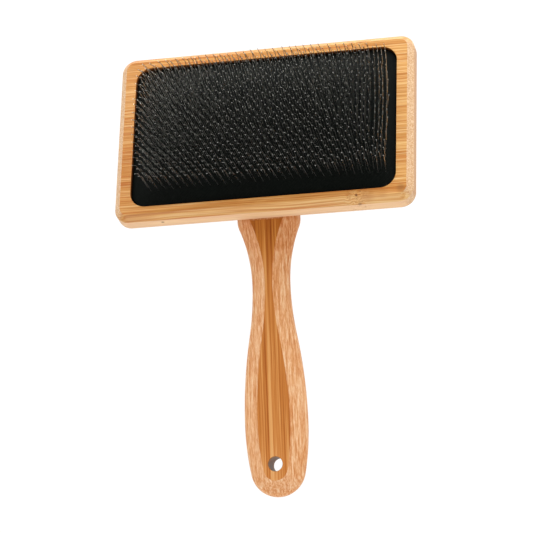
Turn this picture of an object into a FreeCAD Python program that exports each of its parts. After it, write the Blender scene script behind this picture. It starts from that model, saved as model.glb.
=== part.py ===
"""Slicker brush: a bamboo head with a sprung pin pad, on a bamboo handle.

Millimetres. The origin is the centre of the head's flat back. +X runs across the head, the handle
leaves towards -Y, and +Z points out of the head's face, the way the pins stand.
"""
import FreeCAD, Part
import math
import os
import random
from FreeCAD import Vector

# --- driving dimensions -----------------------------------------------------------------------
# head block: one bamboo board with a milled pocket
HEAD_WIDTH = 168.0
HEAD_DEPTH = 102.0
HEAD_THICK = 12.5
HEAD_CORNER = 8.2
FACE_CHAMFER = 3.4
BACK_ROUND = 2.2
STILE_WIDTH = 9.2
RAIL_WIDTH = 7.5
POCKET_CORNER = 9.0
POCKET_FLOOR = 3.5

# pin pad: rubber face on a cloth, domed over a foam cushion
PAD_WALL_GAP = 0.35
RIM_RECESS = 2.0
DOME_RISE = 6.2
DOME_SPANS = 8
RUBBER_THICK = 1.2
CLOTH_THICK = 0.8

# pins: U-shaped wire staples pushed up through the cloth and the rubber; each stands a little
# out of true, by up to STRAY_LEAN degrees and STRAY_SHIFT millimetres
WIRE_DIAMETER = 0.36
LEG_PITCH = 4.26
ROW_PITCH = 2.17
ROWS = 31
STAPLES_PER_ROW = 16
PIN_FIELD_X = 2.0
PIN_FIELD_Y = -1.1
SHAFT_HEIGHT = 16.0
TIP_HEIGHT = 5.5
SHAFT_LEAN = 9.5
TIP_LEAN = 17.9
KNEE_BEND = 1.6
STRAY_LEAN = 2.4
STRAY_SHIFT = 0.15

# handle: a slab tilted back from the head, with a flared tongue glued under it
HANDLE_TILT = 15.9
HANDLE_THICK = 14.0
FLANK_WIDTH = 8.5
FLANK_DROP = 4.0
FLANK_ROUND = 4.4
NECK_AT = 35.0
NECK_HALF = 10.6
BELLY_AT = 112.0
BELLY_HALF = 17.6
END_AT = 152.0
END_RADIUS = 15.2
SHOULDER_HALF = 17.7
SHOULDER_RADIUS = 12.0
FLARE_RADIUS = 81.0
BELLY_RADIUS = 270.0
TONGUE_LENGTH = 46.0
HOLE_AT = 134.4
HOLE_RADIUS = 4.0

# wood screws from the pocket floor into the tongue
SCREW_SHANK = 3.0
SCREW_HEAD = 6.0
SCREW_LENGTH = 9.5
SCREW_SPREAD = 9.0
SCREW_PAIR_Y = -41.0
SCREW_SINGLE_Y = -33.0

# tools that cut right through reach this far past the wood
OVERSHOOT = 1.0

# --- derived sizes ----------------------------------------------------------------------------
POCKET_WIDTH = HEAD_WIDTH - 2 * STILE_WIDTH
POCKET_DEPTH = HEAD_DEPTH - 2 * RAIL_WIDTH
PAD_WIDTH = POCKET_WIDTH - 2 * PAD_WALL_GAP
PAD_DEPTH = POCKET_DEPTH - 2 * PAD_WALL_GAP
RIM_TOP = HEAD_THICK - RIM_RECESS
ALONG_X = Vector(1, 0, 0)
SQUARE_CORNERS = 1  # the sweep's mitred transition


def rounded_plate(width, depth, corner, bottom, top):
    """A plate centred on the Z axis with its four upright corners rounded."""
    plate = Part.makeBox(width, depth, top - bottom, Vector(-width / 2, -depth / 2, bottom))
    upright = [e for e in plate.Edges if abs(e.tangentAt(e.FirstParameter).z) > 0.9]
    return plate.makeFillet(corner, upright)


def edges_at_height(solid, height):
    return [e for e in solid.Edges if max(abs(v.Z - height) for v in e.Vertexes) < 1e-4]


def head_block():
    """Board with a chamfered face, a softened back edge and a milled pocket for the pad."""
    board = rounded_plate(HEAD_WIDTH, HEAD_DEPTH, HEAD_CORNER, 0, HEAD_THICK)
    board = board.makeChamfer(FACE_CHAMFER, edges_at_height(board, HEAD_THICK))
    board = board.makeFillet(BACK_ROUND, edges_at_height(board, 0))
    mouth = HEAD_THICK + OVERSHOOT
    pocket = rounded_plate(POCKET_WIDTH, POCKET_DEPTH, POCKET_CORNER, POCKET_FLOOR, mouth)
    return board.cut([pocket] + screws()).Solids[0]


# --- pad ---------------------------------------------------------------------------------------
def dome_face(rim_height):
    """The pillow surface with its rim at rim_height: quartic across the head, so its middle is
    nearly level and its ends fall away, and parabolic along the handle's line."""
    patch = Part.BezierSurface()
    patch.increase(4, 2)
    lift_x = (0, 2, 0, 2, 0)
    lift_y = (0, 2, 0)
    for i, across in enumerate(lift_x):
        for j, along in enumerate(lift_y):
            x = PAD_WIDTH * (i / 4 - 0.5)
            y = PAD_DEPTH * (j / 2 - 0.5)
            patch.setPole(i + 1, j + 1, Vector(x, y, rim_height + DOME_RISE * across * along))
    # extra knots keep the control net close to the surface
    surface = patch.toBSpline()
    knots = [step / DOME_SPANS for step in range(1, DOME_SPANS)]
    surface.insertUKnots(knots, [1] * len(knots), 1e-9)
    surface.insertVKnots(knots, [1] * len(knots), 1e-9)
    return surface.toShape()


def pad_prism(bottom):
    """Upright prism of the pad's outline, from bottom to above the pillow's top."""
    top = RIM_TOP + DOME_RISE + OVERSHOOT
    return rounded_plate(PAD_WIDTH, PAD_DEPTH, POCKET_CORNER - PAD_WALL_GAP, bottom, top)


def dome_layer(rim_top, thickness):
    """A sheet of even upright thickness under the pillow surface, cut to the pad's outline."""
    slab = dome_face(rim_top).extrude(Vector(0, 0, -thickness))
    return slab.common(pad_prism(0)).Solids[0]


def rubber_face():
    return dome_layer(RIM_TOP, RUBBER_THICK)


def backing_cloth():
    return dome_layer(RIM_TOP - RUBBER_THICK, CLOTH_THICK)


def foam_cushion():
    """Foam between the pocket floor and the cloth."""
    top = RIM_TOP - RUBBER_THICK - CLOTH_THICK
    block = dome_face(top).extrude(Vector(0, 0, -(top + DOME_RISE)))
    return block.common(pad_prism(POCKET_FLOOR)).Solids[0]


def dome_height(x, y):
    across = 1 - (2 * x / PAD_WIDTH) ** 4
    along = 1 - (2 * y / PAD_DEPTH) ** 2
    return RIM_TOP + DOME_RISE * across * along


def dome_normal(x, y):
    across = 1 - (2 * x / PAD_WIDTH) ** 4
    along = 1 - (2 * y / PAD_DEPTH) ** 2
    slope_x = DOME_RISE * along * 4 * (2 * x / PAD_WIDTH) ** 3 * 2 / PAD_WIDTH
    slope_y = DOME_RISE * across * 2 * (2 * y / PAD_DEPTH) * 2 / PAD_DEPTH
    return Vector(slope_x, slope_y, 1).normalize()


# --- pins --------------------------------------------------------------------------------------
def bent_path(corners, radii):
    """Straight runs through the corners, joined by tangent arcs, or square where the radius is 0."""
    edges = []
    start = corners[0]
    for before, corner, after, radius in zip(corners, corners[1:], corners[2:], radii):
        if not radius:
            edges.append(Part.LineSegment(start, corner).toShape())
            start = corner
            continue
        back = (before - corner).normalize()
        ahead = (after - corner).normalize()
        half = back.getAngle(ahead) / 2
        first = corner + back * (radius / math.tan(half))
        last = corner + ahead * (radius / math.tan(half))
        centre = corner + (back + ahead).normalize() * (radius / math.sin(half))
        middle = centre + (corner - centre).normalize() * radius
        edges.append(Part.LineSegment(start, first).toShape())
        edges.append(Part.Arc(first, middle, last).toShape())
        start = last
    edges.append(Part.LineSegment(start, corners[-1]).toShape())
    return Part.Wire(edges)


def staple():
    """One U-shaped wire, standing on the pad's surface at z = 0: two kneed legs, and a crown with
    pressed square corners."""
    half = LEG_PITCH / 2
    crown = -(RUBBER_THICK + CLOTH_THICK + WIRE_DIAMETER / 2)
    shaft = math.tan(math.radians(SHAFT_LEAN))
    knee_y = SHAFT_HEIGHT * shaft
    tip_y = knee_y - TIP_HEIGHT * math.tan(math.radians(TIP_LEAN))
    tip_z = SHAFT_HEIGHT + TIP_HEIGHT
    corners = [
        Vector(-half, tip_y, tip_z),
        Vector(-half, knee_y, SHAFT_HEIGHT),
        Vector(-half, crown * shaft, crown),
        Vector(half, crown * shaft, crown),
        Vector(half, knee_y, SHAFT_HEIGHT),
        Vector(half, tip_y, tip_z),
    ]
    path = bent_path(corners, [KNEE_BEND, 0, 0, KNEE_BEND])
    along = (corners[1] - corners[0]).normalize()
    section = Part.Wire(Part.Circle(corners[0], along, WIRE_DIAMETER / 2).toShape())
    return path.makePipeShell([section], True, False, SQUARE_CORNERS)


def pin_row(number, wire):
    """Row `number`, counted from the handle's side. Every other row is set half a leg pitch across."""
    y = (number - (ROWS + 1) / 2) * ROW_PITCH + PIN_FIELD_Y
    stagger = LEG_PITCH / 4 if number % 2 else -LEG_PITCH / 4
    chance = random.Random(number)
    placed = []
    for place in range(STAPLES_PER_ROW):
        x = (place - (STAPLES_PER_ROW - 1) / 2) * 2 * LEG_PITCH + stagger + PIN_FIELD_X
        x += chance.uniform(-STRAY_SHIFT, STRAY_SHIFT)
        aside = Vector(chance.uniform(-1, 1), chance.uniform(-1, 1), 0)
        lean = aside * math.tan(math.radians(STRAY_LEAN)) * (aside.Length / math.sqrt(2))
        normal = (dome_normal(x, y) + lean).normalize()
        side = (ALONG_X - normal * ALONG_X.dot(normal)).normalize()
        front = normal.cross(side)
        pose = FreeCAD.Matrix(
            side.x, front.x, normal.x, x,
            side.y, front.y, normal.y, y,
            side.z, front.z, normal.z, dome_height(x, y),
            0, 0, 0, 1,
        )
        copy = wire.copy()
        copy.transformShape(pose, True)
        placed.append(copy)
    return Part.makeCompound(placed)


# --- handle ------------------------------------------------------------------------------------
def handle_outline(inset):
    """The handle's outline in its own plane, moved inwards by inset. Distances run along -Y.

    Each side is a chain of tangent arcs: shoulder, flare, neck, belly, end. The tongue behind the
    head has straight sides and a round end.
    """
    neck_y = -NECK_AT
    belly_y = -BELLY_AT
    end_centre = Vector(0, -(END_AT - END_RADIUS), 0)
    flare_centre = Vector(NECK_HALF + FLARE_RADIUS, neck_y, 0)
    shoulder_x = SHOULDER_HALF - SHOULDER_RADIUS
    reach = FLARE_RADIUS + SHOULDER_RADIUS
    shoulder_y = neck_y + math.sqrt(reach ** 2 - (flare_centre.x - shoulder_x) ** 2)
    shoulder_centre = Vector(shoulder_x, shoulder_y, 0)
    # the hollow under the neck touches the upper belly arc and has its narrowest point at the neck
    run = BELLY_AT - NECK_AT
    rise = BELLY_RADIUS - BELLY_HALF + NECK_HALF
    neck_radius = (run ** 2 + rise ** 2 - BELLY_RADIUS ** 2) / (2 * (BELLY_RADIUS - rise))
    neck_centre = Vector(NECK_HALF + neck_radius, neck_y, 0)
    upper_centre = Vector(BELLY_HALF - BELLY_RADIUS, belly_y, 0)
    # the lower belly arc touches the end circle from outside it
    fall = belly_y - end_centre.y
    lower_radius = (fall ** 2 + BELLY_HALF ** 2 - END_RADIUS ** 2) / (2 * (BELLY_HALF - END_RADIUS))
    lower_centre = Vector(BELLY_HALF - lower_radius, belly_y, 0)
    tongue_centre = Vector(0, TONGUE_LENGTH - SHOULDER_HALF, 0)

    def point(centre, towards, radius):
        return centre + (towards - centre).normalize() * radius

    neck_r = neck_radius + inset
    flare_r = FLARE_RADIUS + inset
    upper_r = BELLY_RADIUS - inset
    lower_r = lower_radius - inset
    end_r = END_RADIUS - inset
    shoulder_r = SHOULDER_RADIUS - inset
    side_x = SHOULDER_HALF - inset
    joints = [
        Vector(side_x, tongue_centre.y, 0),
        Vector(side_x, shoulder_centre.y, 0),
        point(flare_centre, shoulder_centre, flare_r),
        Vector(NECK_HALF - inset, neck_y, 0),
        point(neck_centre, upper_centre, neck_r),
        Vector(BELLY_HALF - inset, belly_y, 0),
        end_centre + (end_centre - lower_centre).normalize() * end_r,
    ]
    arcs = [
        (shoulder_centre, shoulder_r, 1),
        (flare_centre, flare_r, -1),
        (neck_centre, neck_r, -1),
        (upper_centre, upper_r, 1),
        (lower_centre, lower_r, 1),
    ]
    right = [Part.LineSegment(joints[0], joints[1]).toShape()]
    for start, stop, (centre, radius, outward) in zip(joints[1:], joints[2:], arcs):
        middle = centre + ((start + stop) * 0.5 - centre).normalize() * radius
        right.append(Part.Arc(start, middle, stop).toShape())
    left = [edge.mirror(Vector(0, 0, 0), ALONG_X) for edge in right]
    low = joints[-1]
    bottom = Part.Arc(low, Vector(0, end_centre.y - end_r, 0), Vector(-low.x, low.y, 0)).toShape()
    high = joints[0]
    crest = Vector(0, tongue_centre.y + side_x, 0)
    top = Part.Arc(Vector(-high.x, high.y, 0), crest, high).toShape()
    return Part.Wire(Part.__sortEdges__(right + [bottom] + left + [top]))


def outline_at(inset, height):
    wire = handle_outline(inset)
    wire.translate(Vector(0, 0, height))
    return wire


def handle():
    """Slab with broad flanks worked off both faces, tilted back and planed to the head's back."""
    lower = FLANK_DROP - HANDLE_THICK
    levels = [(FLANK_WIDTH, 0), (0, -FLANK_DROP), (0, lower), (FLANK_WIDTH, -HANDLE_THICK)]
    sections = [outline_at(inset, height) for inset, height in levels]
    slab = Part.makeLoft(sections, True, True)
    ridges = edges_at_height(slab, -FLANK_DROP) + edges_at_height(slab, lower)
    slab = slab.makeFillet(FLANK_ROUND, ridges)
    bore_foot = Vector(0, -HOLE_AT, -HANDLE_THICK - OVERSHOOT)
    bore = Part.makeCylinder(HOLE_RADIUS, HANDLE_THICK + 2 * OVERSHOOT, bore_foot)
    slab = slab.cut(bore)
    slab.rotate(Vector(0, 0, 0), ALONG_X, HANDLE_TILT)
    slab.translate(Vector(0, -HEAD_DEPTH / 2, 0))
    # the tongue's tilted top would rise by this much at most where the head lies on it
    rise = TONGUE_LENGTH * math.sin(math.radians(HANDLE_TILT)) + OVERSHOOT
    above_head = Vector(-HEAD_WIDTH / 2, -HEAD_DEPTH, 0)
    above = Part.makeBox(HEAD_WIDTH, 2 * HEAD_DEPTH, rise, above_head)
    return slab.cut([above] + screws()).Solids[0]


# --- fasteners ---------------------------------------------------------------------------------
def screw():
    """Countersunk wood screw with its flat head at z = 0 and its point down."""
    head = (SCREW_HEAD - SCREW_SHANK) / 2
    neck = SCREW_LENGTH - SCREW_SHANK
    cone = Part.makeCone(SCREW_SHANK / 2, SCREW_HEAD / 2, head, Vector(0, 0, -head))
    shank = Part.makeCylinder(SCREW_SHANK / 2, neck - head, Vector(0, 0, -neck))
    point = Part.makeCone(0, SCREW_SHANK / 2, SCREW_SHANK, Vector(0, 0, -SCREW_LENGTH))
    return cone.fuse([shank, point]).removeSplitter()


def screws():
    """Two screws near the head's edge and one further in, driven down from the pocket floor."""
    places = [(-SCREW_SPREAD, SCREW_PAIR_Y), (SCREW_SPREAD, SCREW_PAIR_Y), (0, SCREW_SINGLE_Y)]
    return [screw().translate(Vector(x, y, POCKET_FLOOR)) for x, y in places]


# --- sub-parts ---------------------------------------------------------------------------------
def sub_parts():
    nodes = {
        "head_block": head_block(),
        "handle": handle(),
        "handle_screws": Part.makeCompound(screws()),
        "foam_cushion": foam_cushion(),
        "backing_cloth": backing_cloth(),
        "rubber_face": rubber_face(),
    }
    wire = staple()
    for number in range(1, ROWS + 1):
        nodes[f"pin_row_{number:02d}"] = pin_row(number, wire)
    return nodes


os.makedirs("parts", exist_ok=True)
for name, shape in sub_parts().items():
    shape.exportStep(f"parts/{name}.step")
    print(name, len(shape.Solids), "solids", round(shape.Volume, 1), "mm3")
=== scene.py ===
"""Slicker brush: bamboo head and handle, a black rubber pin pad over foam, and rows of wire pins."""
import math
import random

import bpy
import numpy as np
from mathutils import Matrix, Vector


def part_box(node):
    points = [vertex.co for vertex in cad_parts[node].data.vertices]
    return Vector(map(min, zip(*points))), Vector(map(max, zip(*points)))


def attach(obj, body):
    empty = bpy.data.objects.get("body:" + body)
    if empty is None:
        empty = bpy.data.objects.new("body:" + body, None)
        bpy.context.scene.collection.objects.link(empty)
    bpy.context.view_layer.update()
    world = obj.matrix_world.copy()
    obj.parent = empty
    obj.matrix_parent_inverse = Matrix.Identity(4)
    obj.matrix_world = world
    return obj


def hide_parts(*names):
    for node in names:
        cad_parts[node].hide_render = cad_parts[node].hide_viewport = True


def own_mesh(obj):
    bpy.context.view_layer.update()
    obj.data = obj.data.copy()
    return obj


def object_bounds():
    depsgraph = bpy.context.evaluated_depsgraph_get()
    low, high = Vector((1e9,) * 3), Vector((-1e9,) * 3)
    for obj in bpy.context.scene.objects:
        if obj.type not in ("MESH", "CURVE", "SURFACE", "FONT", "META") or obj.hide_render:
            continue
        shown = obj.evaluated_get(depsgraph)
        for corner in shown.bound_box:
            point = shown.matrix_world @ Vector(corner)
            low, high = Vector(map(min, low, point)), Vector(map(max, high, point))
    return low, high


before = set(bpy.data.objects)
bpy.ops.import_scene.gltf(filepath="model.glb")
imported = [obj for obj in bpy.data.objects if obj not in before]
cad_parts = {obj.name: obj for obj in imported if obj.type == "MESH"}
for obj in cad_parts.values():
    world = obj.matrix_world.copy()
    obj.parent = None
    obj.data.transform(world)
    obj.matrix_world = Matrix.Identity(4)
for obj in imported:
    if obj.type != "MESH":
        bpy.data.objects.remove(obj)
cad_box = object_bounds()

MM = 0.001

# --- the brush's own sizes in millimetres, counts, and its one angle in radians ----------------------
HANDLE_TILT = math.radians(15.9)
HEAD_THICK = 12.5
RUBBER_THICK = 1.2
CLOTH_THICK = 0.8
POCKET_FLOOR = 3.5
RIM_TOP = 10.5
WALL_GAP = 0.35
PAD_CORNER = 8.65
LEG_PITCH = 4.26
ROW_PITCH = 2.17
ROWS = 31
STAPLES_PER_ROW = 16
HOLE_PLACE = 183.45
HOLE_RADIUS = 4.0
PIN_FIELD_X = 2.0
PIN_FIELD_Y = -1.1
STRAY_SHIFT = 0.15

# --- the pad's surface, in millimetres --------------------------------------------------------------
RIM_STEPS = (0.0, 0.07, 0.25, 0.55, 1.0)  # shares of the rolled rim's width where grid lines stand
PUCKER_DEPTH = 0.16
PUCKER_REACH = 0.55
PUCKER_LIMIT = 2.0
WAVE_HEIGHT = 0.10
WAVE_X = 11.0
WAVE_Y = 8.5

# --- looks: shares, and places in millimetres ---------------------------------------------------------
WOOD_LEVEL = 0.8  # the bamboo's own colour, as a share of how it looks under the tent
GLOSS = 0.25
SPOT_CORE = 0.2  # how much of a small stain's reach has its full strength
KNUCKLE_X = 53.0
# heights in the pocket where the painted shade on its wall starts and where it is full
WALL_SHADE_TOP = 12.3
WALL_SHADE_LOW = 10.8
WALL_FADE_OUT = 0.3
WALL_FADE_IN = 0.1

# --- camera: direction in radians, clipping in metres and the rest in millimetres ---------------------
CAMERA_AZIMUTH = math.radians(28.094)
CAMERA_ELEVATION = math.radians(61.834)
CAMERA_ROLL = 0.030
CAMERA_DISTANCE = 1486.8
CAMERA_AIM = Vector((-3.92, -70.25, -19.70))
CAMERA_LENS = 181.76
SENSOR = 36.0
CLIP_NEAR = 0.05
CLIP_FAR = 20.0

# --- light tent, in metres: white panels, each a direction from the brush and a power in watts -------
BOX_DISTANCE = 1.3
BOX_SIZE = 0.9
SOFT_BOXES = [
    ("panel_right", (0.9, 0.1, 0.45), 3.8),
    ("panel_back_right", (0.55, 0.75, 0.5), 11.0),
    ("panel_back", (0, 1, 0.45), 11.0),
    ("panel_back_high", (0, 0.9, 0.9), 5.0),
    ("panel_back_left", (-0.7, 0.6, 0.5), 6.0),
    ("panel_left", (-0.9, -0.1, 0.5), 5.0),
    ("panel_front_left", (-0.5, -0.8, 0.5), 6.0),
    ("panel_front_right", (0.4, -0.9, 0.5), 10.5),
]
# two panels that light the wires alone: one puts a dot on each cut wire end, and one, close by the
# head's far left corner, picks out the wires there; each a direction, a distance, a size and a power
GLINTS = [
    ("glint_overhead", (0.1, -0.1, 1), BOX_DISTANCE, 2.0, 11.0),
    ("glint_corner", (-0.75, 0.75, 0.40), 0.42, 0.45, 4.0),
]
SKY_LIGHT = 0.02
SKY_SEEN = 1.05
FLOOR_HALF = 6.0
FLOOR_DROP = 0.0002
FLOOR_BASE = 0.02
WHITE = (1, 1, 1, 1)

pad_low, pad_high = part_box("rubber_face")
PAD_HALF_X = (pad_high.x - pad_low.x) / 2 / MM
PAD_HALF_Y = (pad_high.y - pad_low.y) / 2 / MM
DOME_RISE = pad_high.z / MM - RIM_TOP
POCKET_HALF_X = (PAD_HALF_X + WALL_GAP) * MM
POCKET_HALF_Y = (PAD_HALF_Y + WALL_GAP) * MM


def srgb(red, green, blue):
    """A display colour from 0 to 255 as the linear colour that the shaders take."""
    levels = []
    for value in (red, green, blue):
        level = value / 255
        levels.append(level / 12.92 if level <= 0.04045 else ((level + 0.055) / 1.055) ** 2.4)
    return (*levels, 1.0)


# --- node helpers -----------------------------------------------------------------------------------
class Shader:
    """A new material with its Principled shader, and short calls for the nodes that feed it."""

    def __init__(self, name):
        self.material = bpy.data.materials.new(name)
        self.material.use_nodes = True
        self.tree = self.material.node_tree
        self.surface = self.tree.nodes["Principled BSDF"]

    def node(self, kind, inputs, **settings):
        """A new node with its settings, and its inputs linked or set."""
        made = self.tree.nodes.new(kind)
        for key, value in settings.items():
            setattr(made, key, value)
        for socket, value in inputs.items():
            self.feed(made.inputs[socket], value)
        return made

    def feed(self, socket, value):
        """Link a socket to another node's output, or give it a plain value."""
        if isinstance(value, bpy.types.NodeSocket):
            self.tree.links.new(value, socket)
        else:
            socket.default_value = value

    def set(self, **inputs):
        """Feed the surface's own sockets, named with underscores for spaces."""
        for name, value in inputs.items():
            self.feed(self.surface.inputs[name.replace("_", " ")], value)

    def spot(self):
        """The object coordinates, in metres."""
        return self.tree.nodes.new("ShaderNodeTexCoord").outputs["Object"]

    def place(self, scale, tilt=0.0):
        """Object coordinates turned by tilt about X, then scaled per millimetre."""
        turned = self.node("ShaderNodeMapping", {"Vector": self.spot(), "Rotation": (-tilt, 0, 0)})
        per_metre = tuple(value / MM for value in scale)
        return self.node("ShaderNodeMapping", {"Vector": turned.outputs[0], "Scale": per_metre}).outputs[0]

    def along(self, axis):
        """The object coordinate on one axis, in metres."""
        return self.node("ShaderNodeSeparateXYZ", {"Vector": self.spot()}).outputs[axis]

    def facing(self, axis, tilt=0.0):
        """How squarely the surface faces along one axis, either way, once turned by tilt about X."""
        normal = self.tree.nodes.new("ShaderNodeNewGeometry").outputs["Normal"]
        inputs = {"Vector": normal, "Rotation": (-tilt, 0, 0)}
        turned = self.node("ShaderNodeMapping", inputs, vector_type="NORMAL")
        part = self.node("ShaderNodeSeparateXYZ", {"Vector": turned.outputs[0]}).outputs[axis]
        return self.math("ABSOLUTE", part)

    def shift(self, vector, amount, scale):
        """The place moved sideways along Y and Z by an amount in millimetres."""
        push = self.node("ShaderNodeVectorMath", {0: (0, scale, scale), 3: amount}, operation="SCALE")
        return self.node("ShaderNodeVectorMath", {0: vector, 1: push.outputs[0]}).outputs[0]

    def noise(self, vector, detail=2.0, roughness=0.5, distortion=0.0):
        inputs = {"Vector": vector, "Scale": 1.0, "Detail": detail, "Roughness": roughness}
        inputs["Distortion"] = distortion
        return self.node("ShaderNodeTexNoise", inputs).outputs["Fac"]

    def cells(self, vector):
        """The distance to the nearest cell's middle."""
        return self.node("ShaderNodeTexVoronoi", {"Vector": vector, "Scale": 1.0}).outputs["Distance"]

    def span(self, value, low, high, to_low=0.0, to_high=1.0):
        """A value taken smoothly from one range to another, and held at the ends."""
        inputs = {"Value": value, "From Min": low, "From Max": high, "To Min": to_low, "To Max": to_high}
        return self.node("ShaderNodeMapRange", inputs, interpolation_type="SMOOTHSTEP").outputs[0]

    def math(self, operation, first, second=0.0):
        return self.node("ShaderNodeMath", {0: first, 1: second}, operation=operation).outputs[0]

    def weigh(self, *shares):
        """The sum of values, each times its weight."""
        total = 0.0
        for value, weight in shares:
            total = self.math("ADD", total, self.math("MULTIPLY", value, weight))
        return total

    def mix(self, factor, first, second, blend="MIX"):
        made = self.node("ShaderNodeMix", {}, data_type="RGBA", blend_type=blend)
        for socket, value in ((0, factor), (6, first), (7, second)):
            self.feed(made.inputs[socket], value)
        return made.outputs[2]

    def tinted(self, factor, colour, tint):
        """The colour taken towards its product with a tint."""
        return self.mix(factor, colour, self.mix(1.0, colour, (*tint, 1.0), "MULTIPLY"))

    def ramp(self, factor, stops):
        made = self.node("ShaderNodeValToRGB", {"Fac": factor})
        band = made.color_ramp.elements
        while len(band) < len(stops):
            band.new(0.5)
        for element, (position, colour) in zip(band, stops):
            element.position = position
            element.color = colour
        return made.outputs["Color"]

    def bump(self, height, strength, distance):
        inputs = {"Height": height, "Strength": strength, "Distance": distance * MM}
        return self.node("ShaderNodeBump", inputs).outputs["Normal"]


# --- bamboo -----------------------------------------------------------------------------------------
def bamboo(red, green, blue):
    """A bamboo colour, given as it looks under the tent's lights."""
    return (*(WOOD_LEVEL * level for level in srgb(red, green, blue)[:3]), 1.0)


def spots(shader, colour, places, ink):
    """Small stained places: each is a centre and a reach in millimetres, and a strength."""
    where = shader.spot()
    for centre, reach, strength in places:
        target = tuple(value * MM for value in centre)
        away = shader.node("ShaderNodeVectorMath", {0: where, 1: target}, operation="DISTANCE")
        stain = shader.span(away.outputs["Value"], reach * MM, reach * MM * SPOT_CORE, 0, strength)
        colour = shader.mix(stain, colour, ink)
    return colour


def head_bamboo():
    """A bamboo board whose fibres run across the head. Its ends show cut bundles as pale speckle, and
    its long sides are painted paler than its face, partly their own paler edge layers and partly a
    painted reflection of the bright floor. Its left end is darkened with painted shade, and the
    pocket's wall carries painted shade that deepens towards the pad. A knuckle of the cane crosses the
    front rail."""
    s = Shader("bamboo_head")
    knuckle = s.math("ABSOLUTE", s.math("SUBTRACT", s.along(0), KNUCKLE_X * MM))
    knuckle = s.span(knuckle, 9.0 * MM, 2.0 * MM)
    swirl = s.math("SUBTRACT", s.noise(s.place((0.22, 0.30, 0.30)), 2.0), 0.5)
    swirl = s.math("MULTIPLY", s.math("MULTIPLY", swirl, knuckle), 5.0)
    drift = s.math("MULTIPLY", s.noise(s.place((0.014, 0.03, 0.03)), 1.0), 3.0)
    wander = s.math("ADD", drift, swirl)
    bands = s.noise(s.shift(s.place((0.007, 0.20, 0.18)), wander, 0.20), 1.0)
    streaks = s.noise(s.shift(s.place((0.013, 0.80, 0.72)), wander, 0.80), 3.0, 0.65)
    fibres = s.noise(s.shift(s.place((0.022, 1.60, 1.40)), wander, 1.60), 2.0, 0.6)
    threads = s.noise(s.shift(s.place((0.016, 1.15, 1.05)), wander, 1.15), 1.0)
    tone = s.weigh((bands, 0.24), (streaks, 0.40), (fibres, 0.36))
    wood = s.ramp(
        tone,
        [
            (0.40, bamboo(190, 116, 42)),
            (0.46, bamboo(209, 143, 68)),
            (0.53, bamboo(224, 164, 90)),
            (0.61, bamboo(238, 194, 126)),
        ],
    )
    wood = s.mix(s.span(threads, 0.58, 0.66, 0, 0.62), wood, bamboo(198, 110, 40))
    wood = s.mix(s.span(threads, 0.40, 0.34, 0, 0.45), wood, bamboo(246, 212, 154))
    # painted shade: the head's face is darkened towards its left end, away from the brighter lights
    left = s.span(s.along(0), -55 * MM, -80 * MM, 0, 0.75)
    wood = s.tinted(left, wood, (0.84, 0.76, 0.74))
    stained = [
        ((KNUCKLE_X + 6.0, -46.2, HEAD_THICK), 7.0, 0.50),
        ((KNUCKLE_X + 14.0, -45.8, HEAD_THICK), 5.0, 0.35),
        ((KNUCKLE_X - 3.0, -45.5, HEAD_THICK), 4.0, 0.35),
    ]
    wood = spots(s, wood, stained, bamboo(186, 112, 42))
    pocket = 1.0
    for axis, half in enumerate((POCKET_HALF_X, POCKET_HALF_Y)):
        away = s.math("ABSOLUTE", s.along(axis))
        within = s.span(away, half + WALL_FADE_OUT * MM, half + WALL_FADE_IN * MM)
        pocket = s.math("MULTIPLY", pocket, within)
    outside = s.math("SUBTRACT", 1.0, pocket)
    # painted sheen: the long sides facing along Y are made paler, partly their own paler edge layers and
    # partly a painted reflection of the bright floor
    pale_edge_and_painted_sheen = s.span(s.facing("Y"), 0.62, 0.98, 0, 0.60)
    wood = s.mix(s.math("MULTIPLY", pale_edge_and_painted_sheen, outside), wood, bamboo(246, 210, 172))
    bundles = s.cells(s.place((0.30, 1.05, 1.05)))
    pits = s.noise(s.place((0.5, 1.8, 1.8)), 2.0, 0.75)
    cut = s.mix(s.span(pits, 0.40, 0.60), bamboo(212, 162, 112), bamboo(242, 212, 176))
    cut = s.mix(s.span(bundles, 0.32, 0.10, 0, 0.60), cut, bamboo(188, 128, 76))
    cut = s.tinted(s.span(s.facing("X"), 0.86, 0.99, 0, 0.80), cut, (0.78, 0.60, 0.42))
    ends = s.span(s.facing("X"), 0.30, 0.72, 0, 0.88)
    wood = s.mix(s.math("MULTIPLY", ends, outside), wood, cut)
    # painted shade down the pocket's wall: darker orange at its mouth, near black further down by the pad
    depth = s.span(s.along(2), WALL_SHADE_TOP * MM, WALL_SHADE_LOW * MM)
    painted_wall_shade = s.mix(depth, bamboo(176, 102, 42), bamboo(92, 50, 20))
    steep = s.span(s.facing("Z"), 0.5, 0.2)
    wood = s.mix(s.math("MULTIPLY", pocket, steep), wood, painted_wall_shade)
    flecks = s.noise(s.place((0.55, 1.5, 1.5)), 2.0, 0.7)
    fleck = s.math("MULTIPLY", s.span(flecks, 0.57, 0.66, 0, 0.70), knuckle)
    wood = s.mix(fleck, wood, bamboo(158, 98, 48))
    marks = [
        ((KNUCKLE_X, -46.8, HEAD_THICK), 1.1, 0.95),
        ((KNUCKLE_X + 1.5, -50.6, 9.0), 1.6, 0.55),
        ((KNUCKLE_X + 4.5, -50.0, 8.0), 1.2, 0.40),
        ((77.5, -44.5, 12.0), 3.6, 0.40),
        ((79.5, -45.0, 11.0), 1.4, 0.45),
        ((-57.0, -51.0, 6.5), 1.3, 0.75),
    ]
    s.set(
        Base_Color=spots(s, wood, marks, bamboo(112, 68, 30)),
        Roughness=s.span(fibres, 0.3, 0.7, 0.42, 0.54),
        Normal=s.bump(s.weigh((fibres, 0.6), (bundles, 0.4)), 0.20, 0.08),
        Specular_IOR_Level=GLOSS,
    )
    return s.material


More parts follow.
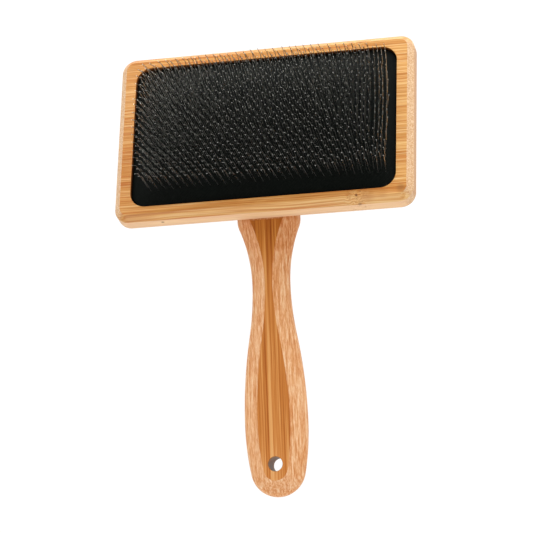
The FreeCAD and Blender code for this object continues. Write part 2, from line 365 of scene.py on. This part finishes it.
def handle_bamboo():
    """Edge-glued bamboo strips. The flat shows straight strips, deeper in colour away from the handle's
    end, and the worked flanks show the short flecks of fibres that are cut across. Close under the
    head, flat and flanks carry a painted shadow of the head, and the hanging hole's wall painted shade."""
    s = Shader("bamboo_handle")
    strips = s.noise(s.place((0.34, 0.003, 0.34), HANDLE_TILT), 1.0)
    streaks = s.noise(s.place((0.95, 0.007, 0.95), HANDLE_TILT), 2.0, 0.6)
    fibres = s.noise(s.place((1.9, 0.030, 1.9), HANDLE_TILT), 2.0, 0.6)
    flecks = s.noise(s.place((1.45, 0.15, 1.45), HANDLE_TILT), 3.0, 0.75, 0.35)
    rows = s.noise(s.place((1.20, 0.018, 1.20), HANDLE_TILT), 2.0, 0.6)
    grain = s.cells(s.place((1.55, 0.26, 1.55), HANDLE_TILT))
    cloud = s.noise(s.place((0.05, 0.03, 0.05), HANDLE_TILT), 2.0)
    flat = s.span(s.facing("Z", HANDLE_TILT), 0.955, 0.99)
    # painted shadow of the head across the top of the handle, on the flat and on the flanks
    painted_head_shadow = s.span(s.along(1), -84 * MM, -58 * MM, 0, 0.5)
    tone = s.weigh((strips, 0.35), (streaks, 0.40), (fibres, 0.25))
    straight = s.ramp(
        tone,
        [
            (0.40, bamboo(180, 100, 36)),
            (0.47, bamboo(202, 126, 58)),
            (0.53, bamboo(216, 146, 80)),
            (0.61, bamboo(232, 176, 114)),
        ],
    )
    deep = s.ramp(
        tone,
        [
            (0.40, bamboo(146, 68, 12)),
            (0.47, bamboo(178, 98, 28)),
            (0.53, bamboo(198, 120, 44)),
            (0.61, bamboo(220, 150, 74)),
        ],
    )
    # a deeper tone over most of the handle, plus the painted shadow of the head near its top
    deeper_tone_and_head_shadow = s.math("ADD", s.span(s.along(1), -190 * MM, -160 * MM, 0, 0.5), painted_head_shadow)
    straight = s.mix(deeper_tone_and_head_shadow, straight, deep)
    cut = s.ramp(
        s.weigh((flecks, 0.58), (rows, 0.42)),
        [
            (0.40, bamboo(208, 134, 74)),
            (0.47, bamboo(227, 162, 106)),
            (0.53, bamboo(238, 182, 132)),
            (0.61, bamboo(249, 212, 172)),
        ],
    )
    cut = s.mix(s.span(grain, 0.30, 0.10, 0, 0.45), cut, bamboo(206, 118, 52))
    cut = s.tinted(painted_head_shadow, cut, (0.82, 0.52, 0.25))
    cut = s.tinted(s.span(cloud, 0.40, 0.65, 0, 0.35), cut, (0.94, 0.84, 0.72))
    near_end = s.span(s.along(1), -188 * MM, -199 * MM, 0, 0.8)
    cut = s.tinted(near_end, cut, (0.88, 0.74, 0.60))
    wood = s.mix(flat, cut, straight)
    # painted shade inside the hanging hole: the wood within the hole's radius is darkened
    middle = (0.0, -HOLE_PLACE, 0.0)
    inputs = {0: s.place((1, 1, 0), HANDLE_TILT), 1: middle}
    from_hole = s.node("ShaderNodeVectorMath", inputs, operation="DISTANCE").outputs["Value"]
    bore_painted_shade = s.span(from_hole, HOLE_RADIUS + 0.25, HOLE_RADIUS + 0.05, 0, 0.92)
    wood = s.mix(bore_painted_shade, wood, bamboo(150, 98, 40))
    s.set(
        Base_Color=wood,
        Roughness=s.span(flecks, 0.3, 0.7, 0.42, 0.54),
        Normal=s.bump(s.weigh((fibres, 0.5), (flecks, 0.5)), 0.12, 0.06),
        Specular_IOR_Level=GLOSS,
    )
    return s.material


# --- metal, rubber, cloth and foam --------------------------------------------------------------------
def steel(name, light, dark, roughness):
    """Drawn wire or plated steel: grey metal with dull patches."""
    s = Shader(name)
    patches = s.noise(s.place((0.6, 0.6, 0.35)), 3.0, 0.6)
    s.set(
        Base_Color=s.mix(s.span(patches, 0.35, 0.65), dark, light),
        Metallic=1.0,
        Roughness=s.span(patches, 0.3, 0.7, roughness + 0.10, roughness - 0.05),
        Normal=s.bump(patches, 0.10, 0.02),
    )
    return s.material


def rubber():
    """Matt black rubber with a fine twill pressed into it from the mould cloth."""
    s = Shader("pad_rubber")
    speckle = s.noise(s.place((1.1, 1.1, 1.1)), 3.0, 0.75)
    cloud = s.noise(s.place((0.05, 0.05, 0.05)), 2.0)
    diagonal = s.place((0.37, -0.37, 0.0))
    twill = s.node("ShaderNodeTexWave", {"Vector": diagonal, "Scale": 1.0}, bands_direction="DIAGONAL")
    ribs = twill.outputs["Fac"]
    base = s.mix(s.span(speckle, 0.40, 0.62), srgb(3, 4, 3), srgb(12, 14, 12))
    base = s.mix(s.span(cloud, 0.3, 0.7, 0, 0.35), base, srgb(6, 11, 8))
    base = s.mix(s.math("MULTIPLY", ribs, 0.35), base, srgb(17, 21, 18))
    s.set(
        Base_Color=base,
        Roughness=s.span(speckle, 0.3, 0.7, 0.52, 0.66),
        Normal=s.bump(s.weigh((speckle, 0.5), (ribs, 0.5)), 0.40, 0.12),
        Specular_IOR_Level=0.04,
    )
    return s.material


def woven_cloth():
    """Plain-woven backing cloth in dark cotton."""
    s = Shader("pad_cloth")
    weave = 1.0
    for axis, scale in (("X", (1, 0, 0)), ("Y", (0, 1, 0))):
        inputs = {"Vector": s.place(scale), "Scale": 0.6, "Distortion": 0.3}
        threads = s.node("ShaderNodeTexWave", inputs, bands_direction=axis)
        weave = s.math("MULTIPLY", weave, threads.outputs["Fac"])
    fluff = s.noise(s.place((4, 4, 4)), 3.0)
    s.set(
        Base_Color=s.mix(s.span(weave, 0.1, 0.8), srgb(52, 46, 40), srgb(112, 100, 86)),
        Roughness=s.span(fluff, 0.3, 0.7, 0.80, 0.95),
        Normal=s.bump(weave, 0.7, 0.25),
    )
    return s.material


def foam():
    """Open-cell foam: pale grey with small pits."""
    s = Shader("pad_foam")
    pits = s.cells(s.place((1.3, 1.3, 1.3)))
    fine = s.noise(s.place((3, 3, 3)), 3.0)
    s.set(
        Base_Color=s.mix(s.span(pits, 0.15, 0.6), srgb(96, 92, 86), srgb(186, 180, 168)),
        Roughness=s.span(fine, 0.3, 0.7, 0.85, 0.95),
        Normal=s.bump(pits, 0.8, 0.4),
    )
    return s.material


# --- the pad's soft pieces ----------------------------------------------------------------------------
def dome_height(x, y):
    """Height of the pad's surface: quartic across the head and parabolic along the handle."""
    return RIM_TOP + DOME_RISE * (1 - (x / PAD_HALF_X) ** 4) * (1 - (y / PAD_HALF_Y) ** 2)


def lines(half, edge_steps, cell):
    """Grid lines from -half to half, closer together near the rim so that it can roll over."""
    inner = half - edge_steps[-1]
    middle = np.linspace(-inner, inner, round(2 * inner / cell) + 1)
    rim = half - np.array(edge_steps[:-1])
    return np.concatenate([-rim, middle, rim[::-1]])


def rounded(x, y, half_x, half_y, corner):
    """The rectangle's grid with its corner squares drawn in to quarter circles."""
    u = np.clip((np.abs(x) - (half_x - corner)) / corner, 0, 1)
    v = np.clip((np.abs(y) - (half_y - corner)) / corner, 0, 1)
    moved_x = np.sign(x) * (np.abs(x) - u * corner + corner * u * np.sqrt(1 - v * v / 2))
    moved_y = np.sign(y) * (np.abs(y) - v * corner + corner * v * np.sqrt(1 - u * u / 2))
    return moved_x, moved_y


def rim_distance(x, y, half_x, half_y, corner):
    """How far inside the rounded outline each point is."""
    out_x = np.abs(x) - (half_x - corner)
    out_y = np.abs(y) - (half_y - corner)
    outside = np.hypot(np.maximum(out_x, 0), np.maximum(out_y, 0))
    inside = np.minimum(np.maximum(out_x, out_y), 0)
    return np.maximum(corner - outside - inside, 0)


def closed_layer(name, top_of, bottom_of, cell, roll):
    """A closed layer of the pad between two height functions, with its rim rolled over."""
    edge_steps = [share * roll for share in RIM_STEPS]
    across = lines(PAD_HALF_X, edge_steps, cell)
    along = lines(PAD_HALF_Y, edge_steps, cell)
    x, y = np.meshgrid(across, along, indexing="ij")
    x, y = rounded(x, y, PAD_HALF_X, PAD_HALF_Y, PAD_CORNER)
    inside = np.clip(rim_distance(x, y, PAD_HALF_X, PAD_HALF_Y, PAD_CORNER) / roll, 0, 1)
    share = np.sqrt(1 - (1 - inside) ** 2)
    top, bottom = top_of(x, y), bottom_of(x, y)
    middle, half = (top + bottom) / 2, (top - bottom) / 2
    count_x, count_y = x.shape
    upper = np.stack([x, y, middle + half * share], axis=2).reshape(-1, 3)
    lower = np.stack([x, y, middle - half * share], axis=2).reshape(-1, 3)
    index = np.arange(count_x * count_y).reshape(count_x, count_y)
    rim = np.zeros((count_x, count_y), bool)
    rim[0, :] = rim[-1, :] = rim[:, 0] = rim[:, -1] = True
    below = index + count_x * count_y
    below[rim] = index[rim]
    faces = []
    for grid, step in ((index, 1), (below, -1)):
        corners = [grid[:-1, :-1], grid[1:, :-1], grid[1:, 1:], grid[:-1, 1:]][::step]
        faces.append(np.stack(corners, axis=2).reshape(-1, 4))
    points = np.concatenate([upper, lower]) * MM
    quads = np.concatenate(faces)
    used, quads = np.unique(quads, return_inverse=True)
    mesh = bpy.data.meshes.new(name)
    mesh.from_pydata(points[used].tolist(), [], quads.reshape(-1, 4).tolist())
    mesh.polygons.foreach_set("use_smooth", np.ones(len(mesh.polygons), bool))
    mesh.update()
    made = bpy.data.objects.new(name, mesh)
    bpy.context.scene.collection.objects.link(made)
    return made


def leg_places():
    """Where each wire leg comes through the pad."""
    places = []
    for number in range(1, ROWS + 1):
        y = (number - (ROWS + 1) / 2) * ROW_PITCH + PIN_FIELD_Y
        stagger = LEG_PITCH / 4 if number % 2 else -LEG_PITCH / 4
        chance = random.Random(number)
        for place in range(STAPLES_PER_ROW):
            x = (place - (STAPLES_PER_ROW - 1) / 2) * 2 * LEG_PITCH + stagger + PIN_FIELD_X
            x += chance.uniform(-STRAY_SHIFT, STRAY_SHIFT)
            chance.uniform(-1, 1)  # the staple's lean across and along, which moves its tips only
            chance.uniform(-1, 1)
            places += [(x - LEG_PITCH / 2, y), (x + LEG_PITCH / 2, y)]
    return places


def puckers(x, y):
    """Small dimples where the wires pull the rubber down, and the pad's slow unevenness."""
    depth = np.zeros_like(x)
    for leg_x, leg_y in leg_places():
        near = (np.abs(x - leg_x) < PUCKER_LIMIT) & (np.abs(y - leg_y) < PUCKER_LIMIT)
        away = np.hypot(x[near] - leg_x, y[near] - leg_y)
        depth[near] += PUCKER_DEPTH * np.exp(-((away / PUCKER_REACH) ** 2))
    wave = WAVE_HEIGHT * np.sin(x / WAVE_X + 1.3) * np.sin(y / WAVE_Y + 0.4)
    inner = (1 - (x / PAD_HALF_X) ** 2).clip(0) * (1 - (y / PAD_HALF_Y) ** 2).clip(0)
    return depth + WAVE_HEIGHT + wave * inner


def make_pad():
    """The rubber face, the backing cloth under it and the foam cushion under both."""

    def rubber_top(x, y):
        return dome_height(x, y) - puckers(x, y)

    def rubber_bottom(x, y):
        return dome_height(x, y) - RUBBER_THICK

    def cloth_bottom(x, y):
        return rubber_bottom(x, y) - CLOTH_THICK

    def foam_bottom(x, y):
        return np.full_like(x, POCKET_FLOOR)

    face = closed_layer("pad_rubber", rubber_top, rubber_bottom, cell=0.62, roll=0.6)
    face.data.materials.append(rubber())
    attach(face, "pad")
    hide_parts("rubber_face")

    backing = closed_layer("pad_cloth", rubber_bottom, cloth_bottom, cell=1.6, roll=0.4)
    backing.data.materials.append(woven_cloth())
    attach(backing, "pad")
    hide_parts("backing_cloth")

    cushion = closed_layer("pad_foam", cloth_bottom, foam_bottom, cell=1.6, roll=1.4)
    cushion.data.materials.append(foam())
    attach(cushion, "head")
    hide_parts("foam_cushion")
    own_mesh(cushion)


# --- CAD nodes keep their shapes and get their finishes -----------------------------------------------
def finish_nodes():
    """Bamboo on the head and handle, screw steel, and wire on every row of pins."""
    wire = steel("pin_steel", srgb(236, 234, 228), srgb(188, 187, 182), 0.26)
    finishes = {
        "head_block": head_bamboo(),
        "handle": handle_bamboo(),
        "handle_screws": steel("screw_steel", srgb(205, 203, 198), srgb(150, 148, 145), 0.30),
    }
    for name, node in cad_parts.items():
        finish = wire if name.startswith("pin_row") else finishes.get(name)
        if finish:
            node.data.materials.clear()
            node.data.materials.append(finish)


# --- studio -----------------------------------------------------------------------------------------
def make_camera():
    """The camera, standing back from its aim in the direction of its two angles."""
    back = Vector((
        math.sin(CAMERA_AZIMUTH) * math.cos(CAMERA_ELEVATION),
        -math.cos(CAMERA_AZIMUTH) * math.cos(CAMERA_ELEVATION),
        math.sin(CAMERA_ELEVATION),
    ))
    right = Vector((0, 1, 0)).cross(back).normalized()
    up = back.cross(right)
    level = Matrix((right, up, back)).transposed()
    turn = level @ Matrix.Rotation(CAMERA_ROLL, 3, "Z")
    camera = bpy.data.objects.new("camera", bpy.data.cameras.new("camera"))
    bpy.context.scene.collection.objects.link(camera)
    place = (CAMERA_AIM + back * CAMERA_DISTANCE) * MM
    camera.matrix_world = Matrix.Translation(place) @ turn.to_4x4()
    camera.data.sensor_width = SENSOR
    camera.data.lens = CAMERA_LENS
    camera.data.clip_start = CLIP_NEAR
    camera.data.clip_end = CLIP_FAR
    bpy.context.scene.camera = camera


def soft_box(name, towards, distance, size, watts):
    """A square area light seen from the brush in the direction towards, facing it."""
    light = bpy.data.lights.new(name, "AREA")
    light.shape = "SQUARE"
    light.size = size
    light.energy = watts
    lamp = bpy.data.objects.new(name, light)
    bpy.context.scene.collection.objects.link(lamp)
    direction = Vector(towards).normalized()
    centre = (cad_box[0] + cad_box[1]) / 2
    lamp.location = centre + direction * distance
    lamp.rotation_mode = "QUATERNION"
    lamp.rotation_quaternion = (-direction).to_track_quat("-Z", "Y")
    return lamp


def make_floor():
    """A plain floor that glows, so that it stays white under the brush."""
    z = cad_box[0].z - FLOOR_DROP
    low, high = -FLOOR_HALF, FLOOR_HALF
    corners = [(low, low, z), (high, low, z), (high, high, z), (low, high, z)]
    mesh = bpy.data.meshes.new("floor")
    mesh.from_pydata(corners, [], [(0, 1, 2, 3)])
    floor = bpy.data.objects.new("floor", mesh)
    bpy.context.scene.collection.objects.link(floor)
    s = Shader("floor_white")
    grey = (FLOOR_BASE, FLOOR_BASE, FLOOR_BASE, 1)
    s.set(Base_Color=grey, Roughness=0.9, Emission_Color=WHITE, Emission_Strength=1.0)
    mesh.materials.append(s.material)


def make_studio():
    """A sky that looks white but lights little, the tent's panels, the glints, floor and camera."""
    scene = bpy.context.scene
    scene.view_settings.view_transform = "Standard"
    scene.view_settings.look = "None"
    world = bpy.data.worlds.new("studio")
    scene.world = world
    world.use_nodes = True
    tree = world.node_tree
    sky = tree.nodes["Background"]
    seen = tree.nodes.new("ShaderNodeBackground")
    for shown, strength in ((sky, SKY_LIGHT), (seen, SKY_SEEN)):
        shown.inputs["Color"].default_value = WHITE
        shown.inputs["Strength"].default_value = strength
    choose = tree.nodes.new("ShaderNodeMixShader")
    path = tree.nodes.new("ShaderNodeLightPath")
    tree.links.new(path.outputs["Is Camera Ray"], choose.inputs[0])
    tree.links.new(sky.outputs[0], choose.inputs[1])
    tree.links.new(seen.outputs[0], choose.inputs[2])
    tree.links.new(choose.outputs[0], tree.nodes["World Output"].inputs["Surface"])
    for name, towards, watts in SOFT_BOXES:
        soft_box(name, towards, BOX_DISTANCE, BOX_SIZE, watts)
    wires = bpy.data.collections.new("wires")
    for name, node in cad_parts.items():
        if name.startswith("pin_row"):
            wires.objects.link(node)
    for name, towards, distance, size, watts in GLINTS:
        lamp = soft_box(name, towards, distance, size, watts)
        lamp.light_linking.receiver_collection = wires
    make_floor()
    make_camera()


make_pad()
finish_nodes()
make_studio()
